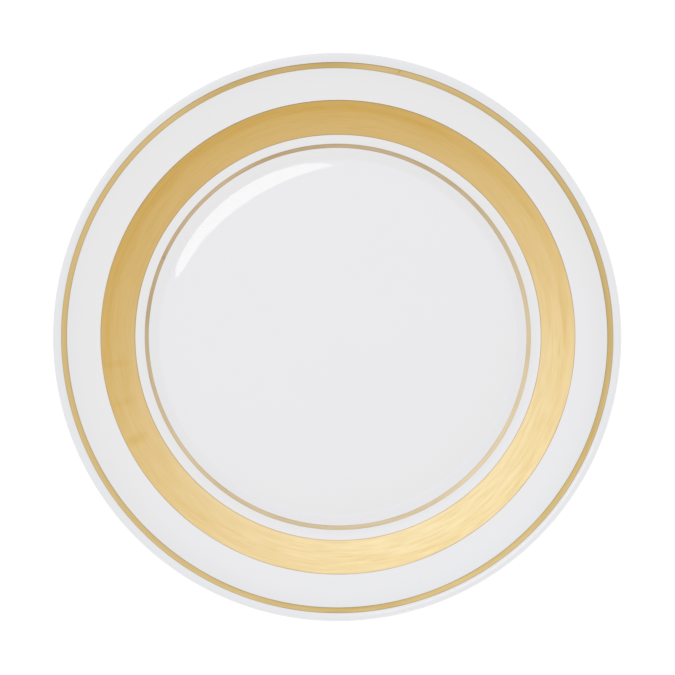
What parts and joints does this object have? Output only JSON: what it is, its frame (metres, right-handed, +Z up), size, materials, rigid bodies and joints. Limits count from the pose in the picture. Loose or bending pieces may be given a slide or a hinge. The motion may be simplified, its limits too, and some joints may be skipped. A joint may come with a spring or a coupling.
{
  "type": "dinner plate",
  "caption": "Round rimmed china dinner plate with a shallow flat well, a wide gently rising rim, a foot ring and gilded decorative bands.",
  "frame": {"origin": "centre of the foot ring's standing face, which is also the bottom centre of the bounding box", "axes": "+Z up along the plate's axis of rotation; the plate is the same in every direction about it"},
  "size_m": [0.267, 0.267, 0.0201],
  "materials": {
    "porcelain": "bare fired porcelain, matt and very slightly rough, as on the foot ring's standing face",
    "glaze": "smooth glossy cool-white glaze",
    "gold": null
  },
  "bodies": {
    "root": {"porcelain_body": "porcelain", "glaze_coat": "glaze", "foot_recess_glaze": "glaze", "inner_gold_line": "gold", "wide_gold_band": "gold", "outer_gold_line": "gold"}
  },
  "joints": []
}
